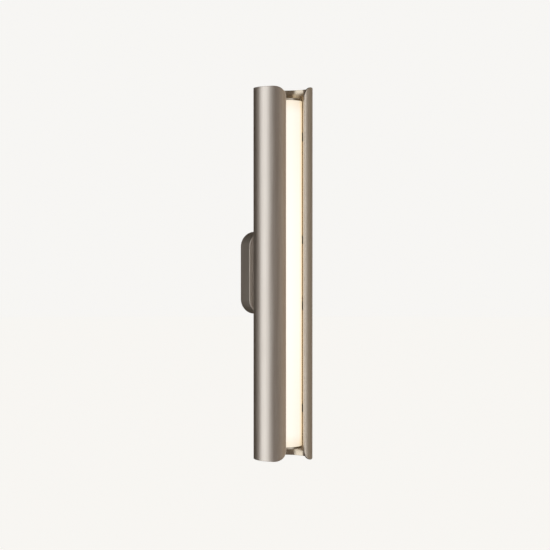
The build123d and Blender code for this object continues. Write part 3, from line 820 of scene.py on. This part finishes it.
def blade(width, thickness, top, depth, taper, turn=0.0):
    """A cutter that reaches depth below z = top and gets narrower on its way down."""
    deselect_all()
    bpy.ops.mesh.primitive_cube_add(size=1, location=(0, 0, top), rotation=(0, 0, turn))
    cutter = bpy.context.object
    cutter.scale = (width, thickness, 2 * depth)
    settle(cutter)
    pick(cutter, "FACE", lambda middle: middle.z < top - depth / 2)
    bpy.ops.transform.resize(value=(taper, taper, 1), center_override=(0, 0, top - depth))
    bpy.ops.object.mode_set(mode="OBJECT")
    return cutter


def cut_cross(head, head_radius, top):
    """Cut the cross for the screwdriver into a head."""
    length = CROSS_LENGTH * head_radius
    width = CROSS_WIDTH * head_radius
    depth = CROSS_DEPTH * head_radius
    for turn in (0, math.pi / 2):
        carve(head, blade(length, width, top, depth, CROSS_TAPER, turn))


# %% [markdown]
# ## Heads
# A countersunk head is a cone whose face is flush with the metal round it. A pan head is a disc with a
# well rounded top edge. Both start as a primitive, have their sharp edges bevelled and get their cross.

# %% Flat and pan heads
HEAD_SIDES = 48
EASE = 0.12 * MM
PAN_CROWN = 0.45


def upright_bar(sides, radius, length, middle_height=0.0):
    """An upright bar on the axis: round with many sides, hexagonal with six."""
    deselect_all()
    bpy.ops.mesh.primitive_cylinder_add(
        vertices=sides, radius=radius, depth=length, location=(0, 0, middle_height)
    )
    return settle(bpy.context.object)


def round_edge(piece, wanted, width, segments):
    """Round the wanted edges of a piece."""
    pick(piece, "EDGE", wanted)
    bpy.ops.mesh.bevel(offset=width, segments=segments, affect="EDGES")
    bpy.ops.object.mode_set(mode="OBJECT")


def flat_screw(radius, head_radius, pitch, length):
    """A countersunk screw with its face at z = 0."""
    cone = head_radius - radius
    deselect_all()
    bpy.ops.mesh.primitive_cone_add(
        vertices=HEAD_SIDES, radius1=radius, radius2=head_radius, depth=cone, location=(0, 0, -cone / 2)
    )
    head = settle(bpy.context.object)
    round_edge(head, lambda middle: middle.z > -EASE, EASE, 2)
    cut_cross(head, head_radius, 0)
    return join([head, threaded_shank(radius, pitch, -cone, length - cone)])


def pan_screw(radius, head_radius, head_height, pitch, length):
    """A pan-head screw whose head stands on z = 0."""
    head = upright_bar(HEAD_SIDES, head_radius, head_height, head_height / 2)
    round_edge(head, lambda middle: middle.z > 0.9 * head_height, PAN_CROWN * head_height, 4)
    round_edge(head, lambda middle: middle.z < EASE, EASE, 1)
    cut_cross(head, head_radius, head_height)
    return join([head, threaded_shank(radius, pitch, pitch / 2, length + pitch / 2)])


# %% [markdown]
# ## Copies that stand for a CAD piece
# One CAD piece is a whole group of equal screws. Edges between faces that nearly line up are shaded
# smooth, and the others stay crisp.

# %% Copy a pattern to its places
SMOOTH_ANGLE = math.radians(32)


def place_copies(name, pattern, places):
    """Copy a screw to each (point, direction of its head), and replace a CAD piece by the copies."""
    copies = []
    for point, direction in places:
        copy = pattern.copy()
        copy.data = pattern.data.copy()
        bpy.context.scene.collection.objects.link(copy)
        copy.rotation_euler = Vector(direction).to_track_quat("Z", "Y").to_euler()
        copy.location = point
        copies.append(settle(copy))
    bpy.data.objects.remove(pattern)
    piece = join(copies)
    piece.name = name + "_detailed"
    only(piece)
    bpy.ops.object.shade_smooth_by_angle(angle=SMOOTH_ANGLE)
    piece.data.materials.clear()
    piece.data.materials.append(screw_zinc.material)
    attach(piece, "root")
    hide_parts(name)
    print(piece.name, "has", len(copies), "copies and", len(piece.data.polygons), "faces")


# %% [markdown]
# ## Screws
# The sizes are those of standard M2, M3 and M4 screws. The CAD box of a group tells where its screws
# are: it ends at their heads, so a head's radius in from its side is a screw's axis. Flush screws have
# their face on the side of the box, and the others have the seat of their head a head's height in.

# %% Screws of the caps and the canopy
M2 = {"radius": 1.0 * MM, "head_radius": 1.9 * MM, "pitch": 0.4 * MM}
M3 = {"radius": 1.5 * MM, "head_radius": 2.9 * MM, "pitch": 0.5 * MM}
M4 = {"radius": 2.0 * MM, "head_radius": 4.0 * MM, "pitch": 0.7 * MM}
PAN_HEIGHT = {"M2": 1.4 * MM, "M3": 1.9 * MM, "M4": 2.6 * MM}
PORT_GRIP = 3 * MM
CANOPY_SCREW_LENGTH = 7 * MM
TO_BACK = (0, 1, 0)
TO_FRONT = (0, -1, 0)

low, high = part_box("end_cap_screws")
port_x = high.x - M3["head_radius"]
port_y = (low.y + high.y) / 2
cap_inner_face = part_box("top_end_cap")[0].z
cap_screw = flat_screw(**M3, length=high.z - cap_inner_face + PORT_GRIP)
cap_places = [((x, port_y, end * high.z), (0, 0, end)) for x in (-port_x, port_x) for end in (1, -1)]
place_copies("end_cap_screws", cap_screw, cap_places)

low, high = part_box("canopy_screws")
canopy_screw = flat_screw(**M3, length=CANOPY_SCREW_LENGTH)
canopy_places = [((0, (low.y + high.y) / 2, end * high.z), (0, 0, end)) for end in (1, -1)]
place_copies("canopy_screws", canopy_screw, canopy_places)

# %% [markdown]
# The two outer screws of the shell are flush with its back. The two inner ones and those of the driver
# have pan heads, and all of them point forwards, so their heads are turned to the back. The screw of
# the terminal block is the other way round.

# %% Screws of the shell, driver and terminal block
low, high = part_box("end_fixing_screws")
far_z = high.z - M4["head_radius"]
far_screw = flat_screw(**M4, length=high.y - low.y)
place_copies("end_fixing_screws", far_screw, [((0, high.y, z), TO_BACK) for z in (-far_z, far_z)])

for name, size, thread in (("fixing_screws", "M4", M4), ("driver_screws", "M3", M3)):
    low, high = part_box(name)
    screw_z = high.z - thread["head_radius"]
    seat_y = high.y - PAN_HEIGHT[size]
    pair_screw = pan_screw(**thread, head_height=PAN_HEIGHT[size], length=seat_y - low.y)
    place_copies(name, pair_screw, [((0, seat_y, z), TO_BACK) for z in (-screw_z, screw_z)])

low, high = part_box("terminal_fixing_screw")
seat_y = low.y + PAN_HEIGHT["M2"]
block_screw = pan_screw(**M2, head_height=PAN_HEIGHT["M2"], length=high.y - seat_y)
block_place = ((low.x + high.x) / 2, seat_y, (low.z + high.z) / 2)
place_copies("terminal_fixing_screw", block_screw, [(block_place, TO_FRONT)])

# %% [markdown]
# ## Clamp screws
# Six small screws close the terminals. They have no head, only a slot across their end, and all were
# turned until they were tight, so the slots don't stand straight.

# %% Clamp screws
CLAMP_RADIUS = 1.3 * MM
CLAMP_SIDES = 32
SLOT_LENGTH = 3 * CLAMP_RADIUS
SLOT_WIDTH = 0.35 * CLAMP_RADIUS
SLOT_DEPTH = 0.5 * CLAMP_RADIUS
SLOT_TURN = math.radians(25)

low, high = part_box("terminal_screws")
clamp_length = high.y - low.y
clamp_screw = upright_bar(CLAMP_SIDES, CLAMP_RADIUS, clamp_length, -clamp_length / 2)
round_edge(clamp_screw, lambda middle: middle.z > -EASE, EASE, 2)
carve(clamp_screw, blade(SLOT_LENGTH, SLOT_WIDTH, 0, SLOT_DEPTH, 1.0, SLOT_TURN))
clamp_x = high.x - CLAMP_RADIUS
clamp_rows = (low.z + CLAMP_RADIUS, high.z - CLAMP_RADIUS)
clamp_places = [((x, low.y, z), TO_FRONT) for x in (-clamp_x, 0, clamp_x) for z in clamp_rows]
place_copies("terminal_screws", clamp_screw, clamp_places)

# %% [markdown]
# ## Earth stud and nut
# The stud is a plain length of thread. The nut is a hexagon whose corners are turned off. Bevelling
# the corners one by one would leave flats, so a disc with rounded edges and the hexagon are overlapped,
# and only what they share is kept.

# %% Earth stud and nut
HEXAGON = 6
NUT_BORE_SIDES = 32
NUT_ROUNDING = 0.14

low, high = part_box("earth_stud")
stud_x = (low.x + high.x) / 2
stud_z = (low.z + high.z) / 2
thread_length = high.y - low.y - M4["pitch"]
stud = threaded_shank(M4["radius"], M4["pitch"], thread_length, thread_length)
place_copies("earth_stud", stud, [((stud_x, high.y, stud_z), TO_FRONT)])

low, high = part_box("earth_nut")
nut_height = high.y - low.y
corner_radius = (high.x - low.x) / 2
nut = upright_bar(HEXAGON, corner_radius, nut_height)
disc = upright_bar(HEAD_SIDES, corner_radius, nut_height)
round_edge(disc, lambda middle: abs(middle.z) > 0.4 * nut_height, NUT_ROUNDING * corner_radius, 3)
carve(nut, disc, "INTERSECT")
carve(nut, upright_bar(NUT_BORE_SIDES, M4["radius"], 2 * nut_height))
place_copies("earth_nut", nut, [((stud_x, (low.y + high.y) / 2, stud_z), TO_FRONT)])
